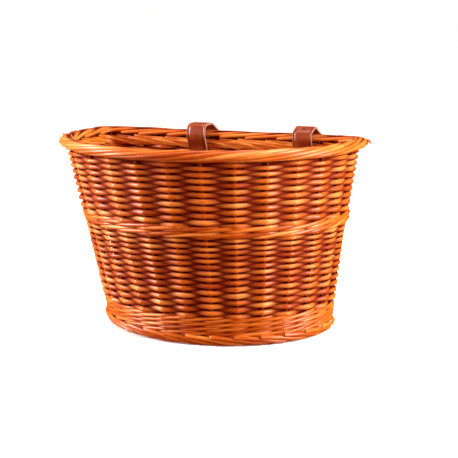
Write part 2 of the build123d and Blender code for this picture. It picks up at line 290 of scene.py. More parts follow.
class RodKind(typing.NamedTuple):
    """What rods of one kind share: reach and width are in radii, and tone runs from 0, deep, to 1, pale."""

    reach: float  # from the surface of a stake or stick to the rod's middle
    flat: float  # thickness over width
    butt: float  # radius at the thick end
    taper: float  # lost on the way to the thin end
    slim: float  # radius between two stakes
    swell: float  # gained over a stake or stick
    tone: float
    tone_spread: float
    tone_bumps: float

    def radii(self, size, part, wave):
        """Radius along the rod, at a part of its length and a place in its wave."""
        return size * (self.butt - self.taper * part) * (self.slim + self.swell * np.abs(wave))

    def tones(self, chance, bump):
        """Tone along the rod, from a tone of its own."""
        return np.clip(chance.normal(self.tone, self.tone_spread) + self.tone_bumps * bump, 0, 1)


WEAVER = RodKind(
    reach=0.72, flat=0.74, butt=1.08, taper=0.16, slim=1.05, swell=0.07,
    tone=0.5, tone_spread=0.17, tone_bumps=0.10,
)
STRAND = RodKind(
    reach=0.62, flat=0.88, butt=1.04, taper=0.08, slim=0.96, swell=0.10,
    tone=0.48, tone_spread=0.15, tone_bumps=0.08,
)
BASE_ROD = RodKind(
    reach=0.8, flat=0.86, butt=1.0, taper=0.0, slim=0.92, swell=0.14,
    tone=0.5, tone_spread=0.16, tone_bumps=0.0,
)
CUT_EDGE = 0.9  # vertices nearer to a rod's middle than this, in radii, are on its cut end
SMOOTH_ANGLE = math.radians(50)


def only(piece):
    """Selects one object and makes it active."""
    bpy.ops.object.select_all(action="DESELECT")
    piece.select_set(True)
    bpy.context.view_layer.objects.active = piece


def apply_modifier(piece, kind, **settings):
    """Adds a modifier, sets it and applies it."""
    only(piece)
    bpy.ops.object.modifier_add(type=kind)
    modifier = piece.modifiers[-1]
    for name, value in settings.items():
        setattr(modifier, name, value)
    bpy.ops.object.modifier_apply(modifier=modifier.name)


def mesh_points(mesh):
    """The mesh's vertices as an array."""
    points = np.empty(len(mesh.vertices) * 3)
    mesh.vertices.foreach_get("co", points)
    return points.reshape(-1, 3)


def straight_rod(name, rings, sides):
    """A straight rod of radius 1 from x = 0 to x = 1, with a smaller face set into each end."""
    bpy.ops.object.select_all(action="DESELECT")
    bpy.ops.mesh.primitive_cylinder_add(
        vertices=sides, radius=1, depth=1, end_fill_type="NGON",
        location=(0.5, 0, 0), rotation=(0, math.pi / 2, 0),
    )
    rod = bpy.context.object
    rod.name = name
    bpy.ops.object.transform_apply(location=True, rotation=True, scale=True)
    bpy.ops.object.mode_set(mode="EDIT")
    bpy.ops.mesh.select_mode(type="EDGE")
    bpy.ops.mesh.select_all(action="DESELECT")
    bpy.ops.object.mode_set(mode="OBJECT")
    points = mesh_points(rod.data)
    for edge in rod.data.edges:
        first, second = edge.vertices
        edge.select = abs(points[first, 0] - points[second, 0]) > 0.5
    bpy.ops.object.mode_set(mode="EDIT")
    bpy.ops.mesh.subdivide(number_cuts=rings - 2)
    bpy.ops.mesh.select_mode(type="FACE")
    bpy.ops.mesh.select_all(action="DESELECT")
    bpy.ops.object.mode_set(mode="OBJECT")
    for face in rod.data.polygons:
        face.select = abs(face.normal.x) > 0.5
    bpy.ops.object.mode_set(mode="EDIT")
    bpy.ops.mesh.inset(thickness=0.3, use_individual=True)
    bpy.ops.object.mode_set(mode="OBJECT")
    return rod


class Rod:
    """One bent rod: its places, the normals that its flat side faces, its radii and its tone from 0 to 1."""

    def __init__(self, places, normals, radii, tone, offsets=None, flat=1.0, slant=0.0):
        self.places = places
        self.normals = normals
        self.radii = radii
        self.tone = np.broadcast_to(tone, len(places))
        self.offsets = offsets
        self.flat = flat
        self.slant = slant

    def bent(self, ring, radial):
        """Where the straight rod's vertices go, and the outward part of each vertex's place in its ring."""
        tangents = np.gradient(self.places, axis=0)
        tangents /= np.linalg.norm(tangents, axis=1, keepdims=True)
        along = np.sum(self.normals * tangents, axis=1, keepdims=True)
        outward = self.normals - along * tangents
        outward /= np.linalg.norm(outward, axis=1, keepdims=True)
        upward = np.cross(tangents, outward)
        reach = self.radii[ring] * radial[:, 0] * self.flat
        rise = self.radii[ring] * radial[:, 1]
        trimmed = np.where(ring == 0, self.slant * self.radii[0] * (1 + radial[:, 0]), 0)
        placed = self.places[ring] + outward[ring] * reach[:, None] + upward[ring] * rise[:, None]
        return placed + tangents[ring] * trimmed[:, None], reach

    def run(self):
        """Distance along the rod at each ring."""
        steps = np.linalg.norm(np.diff(self.places, axis=0), axis=1)
        return np.concatenate([[0], np.cumsum(steps)])


def set_attribute(mesh, name, values):
    """Stores one number, or one vector, for each vertex."""
    values = np.asarray(values, dtype=np.float32)
    if values.ndim == 2:
        mesh.attributes.new(name, "FLOAT_VECTOR", "POINT").data.foreach_set("vector", values.ravel())
    else:
        mesh.attributes.new(name, "FLOAT", "POINT").data.foreach_set("value", values)


def lay_rods(name, rods, sides, reach, material):
    """One piece of many rods: the straight rod is copied for each and bent to its places."""
    rings = len(rods[0].places)
    piece = straight_rod(name, rings, sides)
    straight = mesh_points(piece.data)
    ring = np.rint(straight[:, 0] * (rings - 1)).astype(int)
    radial = straight[:, 1:]
    cut = (np.linalg.norm(radial, axis=1) < CUT_EDGE).astype(float)
    if len(rods) > 1:
        apply_modifier(
            piece, "ARRAY", count=len(rods), use_relative_offset=False, use_constant_offset=True,
            constant_offset_displace=(0, 4, 0),
        )
    mesh = piece.data
    chance = np.random.default_rng(len(rods))
    places, tones, depths, grains = [], [], [], []
    for rod in rods:
        place, outward = rod.bent(ring, radial)
        places.append(place)
        tones.append(rod.tone[ring])
        if rod.offsets is None:
            depths.append(np.ones(len(ring)))
        else:
            depths.append(openness(rod.offsets[ring], outward, radial[:, 0], reach))
        grain = np.column_stack([rod.run()[ring], radial * rod.radii[ring][:, None]])
        grains.append(grain + chance.uniform(0, 1, 3))
    mesh.vertices.foreach_set("co", np.concatenate(places).ravel())
    set_attribute(mesh, "tone", np.concatenate(tones))
    # The depth attribute is how open to view each vertex is. The willow material paints shade where it is low.
    set_attribute(mesh, "depth", np.concatenate(depths))
    set_attribute(mesh, "grain", np.concatenate(grains))
    set_attribute(mesh, "cut", np.tile(cut, len(rods)))
    only(piece)
    bpy.ops.object.shade_smooth_by_angle(angle=SMOOTH_ANGLE)
    mesh.materials.clear()
    mesh.materials.append(material)
    mesh.update()
    return piece


def openness(offset, outward, facing, reach):
    """How open to view a rod's surface is, from 0 in the wall's middle to 1 at its face."""
    turned_away = np.clip((facing * np.sign(offset) + 0.5) / 0.95, 0, 1)
    return np.clip(np.abs(offset + outward) / reach, 0, 1) * (0.5 + 0.5 * turned_away)


def fit_to_frame(piece, body, slot, *nodes):
    """Puts a finished piece on its body, in place of its CAD nodes."""
    if nodes:
        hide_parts(*nodes)
    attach(piece, body)


def zigzag(turns):
    """A straight-sided wave that peaks at each half turn, up and down by turns."""
    wave = np.sin(math.pi * turns)
    return np.arcsin(wave) * 2 / math.pi


def drift(share, phase):
    """A slow unevenness round the wall, between -1 and 1."""
    angle = 2 * math.pi * share
    return (np.sin(2 * angle + phase) + 0.6 * np.sin(5 * angle + 2 * phase) + 0.4 * np.sin(9 * angle)) / 2


PARTED_REACH = 0.35  # of a strap's half width, in which the rows beside it close again
BACK_WALL_DEPTH = 4 * MM  # a place behind this is on the back wall
UNDER_SLOT = 1.2 * MM  # a row that is no further than this under the slot goes over the strap


def round_straps(share, height):
    """Heights of the rows, parted where a strap passes through the back wall."""
    rods = bpy.context.scene.basket_rods
    places, _ = wall_place(share, height, np.zeros(len(share)))
    parted = height.copy()
    for node in ("strap_left", "strap_right"):
        low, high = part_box(node)
        middle = (low.x + high.x) / 2
        half = (high.x - low.x) / 2
        near = 1 - np.clip((np.abs(places[:, 0] - middle) - half) / (PARTED_REACH * half), 0, 1)
        near = near * near * (3 - 2 * near) * (places[:, 1] > -BACK_WALL_DEPTH)
        above = height - rods.slot_height
        spread = np.sqrt(above * above + rods.slot_room**2)
        moved = rods.slot_height + np.where(above >= -UNDER_SLOT, spread, -spread)
        parted += near * (moved - height)
    return parted


BEND_STEPS = np.array([0.0, 0.25, 0.45, 0.5, 0.55, 0.75])  # rings in each stake's share of the way
END_LENGTH = 0.4  # of the way between two stakes, in which a weaver's end is drawn in
END_DRAWN_IN = 1.2 * MM
END_SHIFT = 0.3 * MM  # up or down, so that two ends lie beside each other
ROW_DRIFT = 1.3 * MM
ROW_BUMPS = 0.18 * MM
DRIFT_FADE = 20 * MM  # the rows even out within this distance of the band's edges
STRAND_START = 2.1  # stakes from the back's middle to where the strands of a wale begin
STRAND_TURN = 0.42  # of the way between two stakes, in which a strand comes out or goes in
WALE_DRIFT = 0.8 * MM
WALE_BUMPS = 0.15 * MM


def plain_rows(bottom, top, rows, start_radius, end_radius, chance, phase):
    """Rods of plain weave between two heights: two to a row, in front of every other stake."""
    wall = bpy.context.scene.basket_wall
    rods = []
    sizes = start_radius + (end_radius - start_radius) * np.arange(rows) / (rows - 1)
    pitches = sizes / sizes.sum() * (top - bottom)
    heights = bottom + np.cumsum(pitches) - pitches / 2
    half_turn = wall.stakes // 2
    for row in range(rows):
        first = 2 * int(chance.integers(0, half_turn)) + row % 2
        for part in range(2):
            start = first + part * half_turn
            # Each weaver ends one stake past the other one's start.
            turns = (np.arange(half_turn + 2)[:, None] + BEND_STEPS[None, :]).ravel()[3:-2]
            rods.append(weaver(
                start, turns, row, part, heights[row], sizes[row], (bottom, top), chance, phase
            ))
    return rods


def weaver(start, turns, row, part, height, size, band, chance, phase):
    """One rod of a plain row, with its ends drawn inwards and set just over or under the other rod's."""
    wall = bpy.context.scene.basket_wall
    around = start + turns
    share = around / wall.stakes
    wave = zigzag(around) * (1.0 if row % 2 == 0 else -1.0)
    from_start = np.clip(1 - (turns - turns[0]) / END_LENGTH, 0, 1)
    from_end = np.clip(1 - (turns[-1] - turns) / END_LENGTH, 0, 1)
    ends = from_start + from_end
    offset = wave * (wall.stake_radius + WEAVER.reach * size) - END_DRAWN_IN * ends
    bumps = chance.normal(0, 1, wall.stakes // 2 + 4)
    bump = np.interp(turns, np.arange(len(bumps)), bumps)
    fade = np.clip(np.minimum(height - band[0], band[1] - height) / DRIFT_FADE, 0, 1)
    level = height + ROW_DRIFT * fade * drift(share, phase) + ROW_BUMPS * bump
    level = level + END_SHIFT * ends * (1 if part else -1)
    level = round_straps(share, level)
    places, normals = wall_place(share, level, offset)
    radii = WEAVER.radii(size, turns / turns[-1], wave)
    return Rod(places, normals, radii, WEAVER.tones(chance, bump), offset, flat=WEAVER.flat)


def wale_rods(middles, size, swing, chance):
    """Wales of three strands: each sinks in front of two stakes, and rises again behind the third."""
    wall = bpy.context.scene.basket_wall
    rods = []
    for row, middle in enumerate(middles):
        for strand in range(3):
            turns = (np.arange(wall.stakes + 1)[:, None] + BEND_STEPS[None, :]).ravel()[:-2] + STRAND_START
            place = (turns + strand + row) % 3
            outside = place < 2
            ramp_out = np.minimum(1, np.minimum(place, 2 - place) / STRAND_TURN)
            wave = np.where(outside, np.sin(ramp_out * math.pi / 2), -np.sin(math.pi * (place - 2)))
            rise = np.where(outside, 1 - place, -1 + 2 * (place - 2))
            share = turns / wall.stakes
            offset = wave * (wall.stake_radius + STRAND.reach * size)
            bumps = chance.normal(0, 1, wall.stakes + 8)
            bump = np.interp(turns, np.arange(len(bumps)), bumps)
            level = middle + swing * rise + WALE_DRIFT * drift(share, row) + WALE_BUMPS * bump
            level = round_straps(share, level)
            places, normals = wall_place(share, level, offset)
            radii = STRAND.radii(size, (turns - turns[0]) / wall.stakes, wave)
            rods.append(Rod(places, normals, radii, STRAND.tones(chance, bump), offset, flat=STRAND.flat))
    return rods


BORDER_END = (-0.25, 0.1)  # stakes that a border rod may end early or late
BORDER_SWAY = 0.3 * MM
BORDER_SWAYS = 8  # places along a border rod that sway by themselves
BORDER_TAPER = (1.08, 0.86)
BORDER_TAPER_SPREAD = (0.93, 1.07)
BORDER_ROUND_OFF = 0.86  # radius of a cut end against the rod's
BORDER_TONE_SPREAD = 0.16
BORDER_TONE_SWAY = 0.05


def border_rods(keys, size, chance, rings, tone_middle, slant=0.0):
    """Border rods, one to a stake, each along keys of (stakes travelled from its own, height, offset)."""
    wall = bpy.context.scene.basket_wall
    keys = np.array(keys)
    rods = []
    for stake in range(wall.stakes):
        travelled = np.linspace(keys[0, 0], keys[-1, 0] + chance.uniform(*BORDER_END), rings)
        share = (stake + 0.5 - travelled) / wall.stakes
        level = smooth_through(keys[:, 0], keys[:, 1], travelled)
        offset = smooth_through(keys[:, 0], keys[:, 2], travelled)
        sways = chance.normal(0, 1, BORDER_SWAYS)
        sway = np.interp(travelled, np.linspace(keys[0, 0], keys[-1, 0], BORDER_SWAYS), sways)
        level = level + BORDER_SWAY * sway
        taper = np.linspace(*BORDER_TAPER, rings) * chance.uniform(*BORDER_TAPER_SPREAD)
        taper[0] *= BORDER_ROUND_OFF
        taper[-1] *= BORDER_ROUND_OFF
        tone = np.clip(chance.normal(tone_middle, BORDER_TONE_SPREAD) + BORDER_TONE_SWAY * sway, 0, 1)
        places, normals = wall_place(share, level, offset)
        rods.append(Rod(places, normals, size * taper, tone, offset, slant=slant))
    return rods


def smooth_through(at, values, where):
    """A smooth line through a few values, with slopes taken from their neighbours."""
    slopes = np.gradient(values, at)
    index = np.clip(np.searchsorted(at, where, side="right") - 1, 0, len(at) - 2)
    span = at[index + 1] - at[index]
    part = (where - at[index]) / span
    square, cube = part * part, part**3
    return (
        (2 * cube - 3 * square + 1) * values[index]
        + (cube - 2 * square + part) * span * slopes[index]
        + (3 * square - 2 * cube) * values[index + 1]
        + (cube - square) * span * slopes[index + 1]
    )


# ---- materials --------------------------------------------------------------------------------


class Nodes:
    """A new material and short ways to add nodes to it."""

    def __init__(self, name):
        self.material = bpy.data.materials.new(name)
        self.material.use_nodes = True
        self.tree = self.material.node_tree
        self.tree.nodes.clear()
        output = self.tree.nodes.new("ShaderNodeOutputMaterial")
        self.shader = self.tree.nodes.new("ShaderNodeBsdfPrincipled")
        self.tree.links.new(self.shader.outputs[0], output.inputs["Surface"])

    def link(self, source, target):
        """Joins an output to an input."""
        self.tree.links.new(source, target)

    def attribute(self, name, output="Fac"):
        """A value or vector stored on the piece."""
        node = self.tree.nodes.new("ShaderNodeAttribute")
        node.attribute_name = name
        return node.outputs[output]

    def place(self, scale, source=None, turn=(0, 0, 0)):
        """Object coordinates, or a stored vector, stretched by a Mapping node."""
        if source is None:
            source = self.tree.nodes.new("ShaderNodeTexCoord").outputs["Object"]
        node = self.tree.nodes.new("ShaderNodeMapping")
        node.inputs["Scale"].default_value = scale
        node.inputs["Rotation"].default_value = turn
        self.link(source, node.inputs["Vector"])
        return node.outputs["Vector"]

    def noise(self, vector, scale, detail=3.0, roughness=0.55):
        """Noise from 0 to 1."""
        node = self.tree.nodes.new("ShaderNodeTexNoise")
        node.inputs["Scale"].default_value = scale
        node.inputs["Detail"].default_value = detail
        node.inputs["Roughness"].default_value = roughness
        self.link(vector, node.inputs["Vector"])
        return node.outputs["Fac"]

    def cells(self, vector, scale):
        """Distance to the nearest of many scattered points."""
        node = self.tree.nodes.new("ShaderNodeTexVoronoi")
        node.inputs["Scale"].default_value = scale
        self.link(vector, node.inputs["Vector"])
        return node.outputs["Distance"]

    def spread(self, value, low, high, new_low=0.0, new_high=1.0):
        """A value's range stretched to a new one, and held there."""
        node = self.tree.nodes.new("ShaderNodeMapRange")
        for name, bound in zip(("From Min", "From Max", "To Min", "To Max"), (low, high, new_low, new_high)):
            node.inputs[name].default_value = bound
        self.link(value, node.inputs["Value"])
        return node.outputs["Result"]

    def math(self, operation, first, second):
        """Arithmetic of two values, each an output or a number."""
        node = self.tree.nodes.new("ShaderNodeMath")
        node.operation = operation
        for socket, value in zip(node.inputs, (first, second)):
            if isinstance(value, (int, float)):
                socket.default_value = value
            else:
                self.link(value, socket)
        return node.outputs[0]

    def mix(self, factor, first, second):
        """Two colours mixed, each an output or a colour."""
        node = self.tree.nodes.new("ShaderNodeMix")
        node.data_type = "RGBA"
        sockets = [node.inputs[6], node.inputs[7]]
        if isinstance(factor, (int, float)):
            node.inputs[0].default_value = factor
        else:
            self.link(factor, node.inputs[0])
        for socket, value in zip(sockets, (first, second)):
            if isinstance(value, bpy.types.NodeSocket):
                self.link(value, socket)
            else:
                socket.default_value = (*value, 1.0)
        return node.outputs[2]

    def ramp(self, value, stops):
        """A colour ramp from stops of (place, colour)."""
        node = self.tree.nodes.new("ShaderNodeValToRGB")
        node.color_ramp.elements.remove(node.color_ramp.elements[1])
        for index, (place, rgb) in enumerate(stops):
            stop = node.color_ramp.elements[0] if index == 0 else node.color_ramp.elements.new(place)
            stop.position = place
            stop.color = (*rgb, 1.0)
        self.link(value, node.inputs["Fac"])
        return node.outputs["Color"]

    def bump(self, height, distance, strength=0.6):
        """Fine relief on the shader's normal."""
        node = self.tree.nodes.new("ShaderNodeBump")
        node.inputs["Strength"].default_value = strength
        node.inputs["Distance"].default_value = distance
        self.link(height, node.inputs["Height"])
        self.link(node.outputs["Normal"], self.shader.inputs["Normal"])

    def colour(self, source):
        """Joins a colour to the shader."""
        self.link(source, self.shader.inputs["Base Color"])

    def set(self, **values):
        """Sets the shader's own sockets."""
        for name, value in values.items():
            self.shader.inputs[name.replace("_", " ")].default_value = value


def stained_willow(name, grain_source, woven):
    """Varnished willow: long streaks and darker knots. On woven rods it has painted shade where a rod lies hidden
    in the wall, and pale cut ends. On stakes and sticks it has painted shade all over.
    """
    colours = bpy.context.scene.basket_wicker
    nodes = Nodes(name)
    long_grain = nodes.place((28, 620, 620), grain_source(nodes))
    patches = nodes.place((30, 90, 90), grain_source(nodes))
    streaks = nodes.noise(long_grain, 1.0, 4.0, 0.6)
    blotches = nodes.noise(patches, 1.0, 2.0)
    knots = nodes.spread(nodes.cells(nodes.place((38, 150, 150), grain_source(nodes)), 1.0), 0.10, 0.24)
    base_tone = nodes.attribute("tone") if woven else nodes.spread(blotches, 0.3, 0.7, -0.1, 0.15)
    varied = nodes.math("ADD", base_tone, nodes.spread(blotches, 0.25, 0.75, -0.24, 0.24))
    varied = nodes.math("ADD", varied, nodes.spread(streaks, 0.3, 0.7, -0.16, 0.16))
    stain = nodes.ramp(varied, [(0.12, colours.deep), (0.5, colours.warm), (0.92, colours.pale)])
    stain = nodes.mix(nodes.spread(knots, 0.0, 1.0, 0.55, 0.0), stain, colours.deep)
    rough = nodes.spread(streaks, 0.3, 0.7, 0.34, 0.48)
    if woven:
        hidden = nodes.spread(nodes.attribute("depth"), 0.10, 0.90, 0.98, 0.0)
        rough = nodes.math("ADD", rough, nodes.math("MULTIPLY", hidden, 0.5))
        nodes.link(nodes.spread(hidden, 0.0, 0.6, 0.55, 0.0), nodes.shader.inputs["Coat Weight"])
        # Painted shade: the colour is darkened towards the shade colour the more the rod's surface is hidden in
        # the wall.
        stain = nodes.mix(hidden, stain, colours.shade)
        stain = nodes.mix(nodes.math("MULTIPLY", nodes.attribute("cut"), 0.85), stain, colours.cut)
    else:
        # Painted shade: stakes and sticks stand among the rods, and they are darkened 70% towards the shade colour
        # all over.
        stain = nodes.mix(0.7, stain, colours.shade)
    nodes.colour(stain)
    nodes.link(rough, nodes.shader.inputs["Roughness"])
    nodes.bump(nodes.math("ADD", streaks, nodes.math("MULTIPLY", knots, 0.6)), 0.00035, 0.55)
    nodes.set(Coat_Roughness=0.3, Coat_IOR=1.5, IOR=1.45, Specular_IOR_Level=0.18)
    return nodes.material


def rod_grain(nodes):
    """The rod's own coordinates, as if it were straight."""
    return nodes.attribute("grain", "Vector")


def upright_grain(nodes):
    """Object coordinates turned so that the first one runs up the stakes."""
    return nodes.place((1, 1, 1), None, (0, math.pi / 2, 0))


def plain_grain(nodes):
    """Object coordinates, for rods that lie along X."""
    return nodes.place((1, 1, 1))


def strap_leather(name, with_edge):
    """Waxed brown leather: pebbled grain, rubbed patches, raw cut edges, and painted shade along the pressed
    lines.
    """
    colours = bpy.context.scene.basket_leather
    nodes = Nodes(name)
    where = nodes.place((1, 1, 1))
    pebbles = nodes.cells(where, 1500.0)
    pores = nodes.noise(where, 2600.0, 3.0)
    rubbed = nodes.noise(where, 70.0, 4.0, 0.6)
    face = nodes.mix(nodes.spread(rubbed, 0.42, 0.72, 0.0, 0.75), colours.face, colours.worn)
    face = nodes.mix(nodes.spread(pebbles, 0.05, 0.5, 0.35, 0.0), face, (0.05, 0.008, 0.003))
    rough = nodes.spread(rubbed, 0.3, 0.7, 0.26, 0.42)
    if with_edge:
        edge = nodes.attribute("edge")
        fibres = nodes.noise(nodes.place((900, 240, 240)), 1.0, 4.0, 0.7)
        raw = nodes.mix(nodes.spread(fibres, 0.35, 0.65), colours.raw, (0.27, 0.10, 0.06))
        face = nodes.mix(edge, face, raw)
        groove = nodes.attribute("groove")
        # Painted shade: the pressed lines are darkened, standing in for the shade in the crease.
        face = nodes.mix(nodes.math("MULTIPLY", groove, 0.55), face, (0.06, 0.010, 0.004))
        rough = nodes.math("ADD", rough, nodes.math("MULTIPLY", edge, 0.35))
    nodes.colour(face)
    nodes.link(rough, nodes.shader.inputs["Roughness"])
    nodes.bump(nodes.math("ADD", pebbles, nodes.math("MULTIPLY", pores, 0.4)), 0.00012, 0.5)
    nodes.set(Coat_Weight=0.22, Coat_Roughness=0.3, IOR=1.48)
    return nodes.material


def plated_metal(name, tint, roughness):
    """Plated metal with fine scratches, and dulled where it has been handled."""
    nodes = Nodes(name)
    where = nodes.place((1, 1, 1))
    scratches = nodes.noise(nodes.place((2600, 260, 260)), 1.0, 5.0, 0.7)
    dulled = nodes.noise(where, 240.0, 4.0, 0.6)
    darker = tuple(part * 0.55 for part in tint)
    nodes.colour(nodes.mix(nodes.spread(dulled, 0.45, 0.8, 0.0, 0.8), tint, darker))
    wear = nodes.math("ADD", nodes.spread(dulled, 0.3, 0.7, roughness - 0.08, roughness + 0.12),
                      nodes.spread(scratches, 0.3, 0.7, 0.0, 0.08))
    nodes.link(wear, nodes.shader.inputs["Roughness"])
    nodes.bump(scratches, 0.00004, 0.4)
    nodes.set(Metallic=1.0)
    return nodes.material


def willow():
    """The material of every woven rod, made once."""
    return bpy.data.materials.get("stained_willow") or stained_willow("stained_willow", rod_grain, True)


# ---- operators --------------------------------------------------------------------------------

LOWER_WALE_ROWS = 4
BORDER_RINGS = 46
RIM_INNER = 8 * MM  # from the wall's middle to the rim's inner side
ROLL_ANGLES = (math.radians(-78), math.radians(196))
ROLL_KEYS = 10
ROLL_START = 2.15  # stakes travelled where the roll begins, and from one key of it to the next
ROLL_STEP = 0.62
LINING_SIZE = 0.72  # of a rim rod's radius
CORE_SIZE = 0.85
FOOT_RINGS = 30
BASE_STICKS = 6
BASE_SPACING = 2.15  # radii from one rod of the base panel to the next
BASE_RINGS = 43
BASE_INSET = 0.5 * MM
BASE_SWAY = 0.4 * MM
TWIG_RINGS = 14


class BASKET_OT_weave(bpy.types.Operator):
    """Weave the two bands of plain weave round the stakes"""

    bl_idname = "basket.weave"
    bl_label = "Plain Weave"

    def execute(self, context):
        rods = context.scene.basket_rods
        wall = context.scene.basket_wall
        for node, rows, seed in (("lower_weave", rods.lower_rows, 11), ("upper_weave", rods.upper_rows, 12)):
            low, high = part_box(node)
            bottom = low.z - (0.0 if node == "lower_weave" else rods.crowding)
            top = high.z + (rods.crowding if node == "lower_weave" else -rods.crowding)
            chance = np.random.default_rng(seed)
            thin = rods.thin_rod if node == "lower_weave" else rods.upper_thin_rod
            bundle = plain_rows(bottom, top, rows, rods.thick_rod, thin, chance, seed)
            piece = lay_rods(node + "_rods", bundle, 8, wall.wall_half, willow())
            fit_to_frame(piece, "basket", "willow", node)
        return {"FINISHED"}


class BASKET_OT_wales(bpy.types.Operator):
    """Twist the rows of the lower wale and the bold middle wale"""

    bl_idname = "basket.wales"
    bl_label = "Wales"

    def execute(self, context):
        rods = context.scene.basket_rods
        wall = context.scene.basket_wall
        low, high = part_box("lower_wale")
        pitch = (high.z - low.z) / LOWER_WALE_ROWS
        middles = [low.z + pitch * (row + 0.6) for row in range(LOWER_WALE_ROWS)]
        bundle = wale_rods(middles, rods.wale_rod, pitch * 0.55, np.random.default_rng(21))
        piece = lay_rods("lower_wale_rods", bundle, 8, wall.wall_half, willow())
        fit_to_frame(piece, "basket", "willow", "lower_wale")
        low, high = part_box("middle_wale")
        pitch = (high.z - low.z) / 2
        middles = [low.z + pitch * 0.52, low.z + pitch * 1.48]
        bundle = wale_rods(middles, rods.band_rod, pitch * 0.45, np.random.default_rng(22))
        piece = lay_rods("middle_wale_rods", bundle, 10, wall.wall_half, willow())
        fit_to_frame(piece, "basket", "willow", "middle_wale")
        return {"FINISHED"}


class BASKET_OT_rim(bpy.types.Operator):
    """Roll the rim border, one long slanting rod from each stake"""

    bl_idname = "basket.rim"
    bl_label = "Rim Border"

    def execute(self, context):
        rods = context.scene.basket_rods
        wall = context.scene.basket_wall
        low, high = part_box("rim_border")
        size = rods.rim_rod
        outer = high.y - size
        inner = -RIM_INNER + size
        middle = (outer + inner) / 2
        reach = (outer - inner) / 2
        centre = (low.z + high.z) / 2
        rise = (high.z - low.z) / 2 - size
        keys = [
            (-0.25, low.z - 10 * MM, -1 * MM),
            (0.35, low.z - 5.5 * MM, -3.5 * MM),
            (1.0, low.z - 1.5 * MM, -wall.stake_radius - size),
            (1.6, low.z + 0.5 * MM, -1 * MM),
        ]
        for step, angle in enumerate(np.linspace(*ROLL_ANGLES, ROLL_KEYS)):
            travelled = ROLL_START + ROLL_STEP * step
            keys.append((travelled, centre + rise * math.sin(angle), middle + reach * math.cos(angle)))
        bundle = border_rods(keys, size, np.random.default_rng(31), BORDER_RINGS, 0.62)
        lining = [
            (-0.6, low.z - 7.5 * MM, -2.8 * MM),
            (0.4, low.z - 4 * MM, -4.6 * MM),
            (1.6, low.z - 0.4 * MM, -4.8 * MM),
            (3.0, low.z + 3.6 * MM, -4 * MM),
        ]
        bundle += border_rods(lining, LINING_SIZE * size, np.random.default_rng(32), BORDER_RINGS, 0.5)
        core = [
            (-0.8, centre - 0.30 * rise, middle - 0.50 * reach),
            (0.5, centre - 0.05 * rise, middle - 0.20 * reach),
            (1.7, centre - 0.05 * rise, middle + 0.15 * reach),
            (3.0, centre - 0.30 * rise, middle + 0.45 * reach),
        ]
        bundle += border_rods(core, CORE_SIZE * size, np.random.default_rng(33), BORDER_RINGS, 0.15)
        piece = lay_rods("rim_border_rods", bundle, 10, wall.wall_half, willow())
        fit_to_frame(piece, "basket", "willow", "rim_border")
        return {"FINISHED"}


class BASKET_OT_foot(bpy.types.Operator):
    """Lay the foot border, short rods that turn under the basket"""

    bl_idname = "basket.foot"
    bl_label = "Foot Border"

    def execute(self, context):
        rods = context.scene.basket_rods
        wall = context.scene.basket_wall
        low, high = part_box("foot_border")
        size = rods.foot_rod
        top = high.z
        keys = [
            (-0.20, top - 0.4 * MM, 5.6 * MM),
            (0.35, top - 1.2 * MM, 6 * MM),
            (1.0, top - 3.8 * MM, 5.6 * MM),
            (1.6, top - 7.4 * MM, 4.6 * MM),
            (2.1, low.z + size + 0.6 * MM, 2.6 * MM),
            (2.7, low.z + size + 0.2 * MM, -1 * MM),
            (3.3, low.z + size + 0.6 * MM, -5.6 * MM),
        ]
        bundle = border_rods(keys, size, np.random.default_rng(41), FOOT_RINGS, 0.45, 1.1)
        piece = lay_rods("foot_border_rods", bundle, 10, wall.wall_half, willow())
        fit_to_frame(piece, "basket", "willow", "foot_border")
        return {"FINISHED"}


class BASKET_OT_base(bpy.types.Operator):
    """Weave the base panel over and under the base sticks"""

    bl_idname = "basket.base"
    bl_label = "Base Panel"

    def execute(self, context):
        rods = context.scene.basket_rods
        wall = context.scene.basket_wall
        chance = np.random.default_rng(51)
        low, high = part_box("base_weave")
        stick_low, stick_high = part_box("base_sticks")
        stick_radius = (stick_high.z - stick_low.z) / 2
        level = (stick_low.z + stick_high.z) / 2
        first_stick = stick_high.y - stick_radius
        stick_pitch = (first_stick - stick_low.y - stick_radius) / (BASE_STICKS - 1)
        size = rods.base_rod
        count = int((high.x - low.x) / (BASE_SPACING * size))
        pitch = (high.x - low.x - 2 * size) / (count - 1)
        side = wall.side_at_foot
        bundle = []
        for index in range(count):
            across = low.x + size + pitch * index
            bow = math.sqrt(max(0.0, 1 - (across / high.x) ** 2))
            front = -side - (-low.y - side) * bow
            ends = np.linspace(high.y - BASE_INSET, front + BASE_INSET, BASE_RINGS)
            turns = (first_stick - ends) / stick_pitch + 0.5
            wave = zigzag(turns) * (1 if index % 2 else -1)
            height = level + wave * (stick_radius + BASE_ROD.reach * size)
            places = np.column_stack([across + BASE_SWAY * np.sin(turns + index), ends, height])
            normals = np.tile([0.0, 0.0, 1.0], (len(ends), 1))
            radii = BASE_ROD.radii(size, 0.0, wave)
            tone = BASE_ROD.tones(chance, 0.0)
            bundle.append(Rod(places, normals, radii, tone, wave * (stick_radius + size), flat=BASE_ROD.flat))
        piece = lay_rods("base_weave_rods", bundle, 8, stick_radius + size, willow())
        fit_to_frame(piece, "basket", "willow", "base_weave")
        return {"FINISHED"}


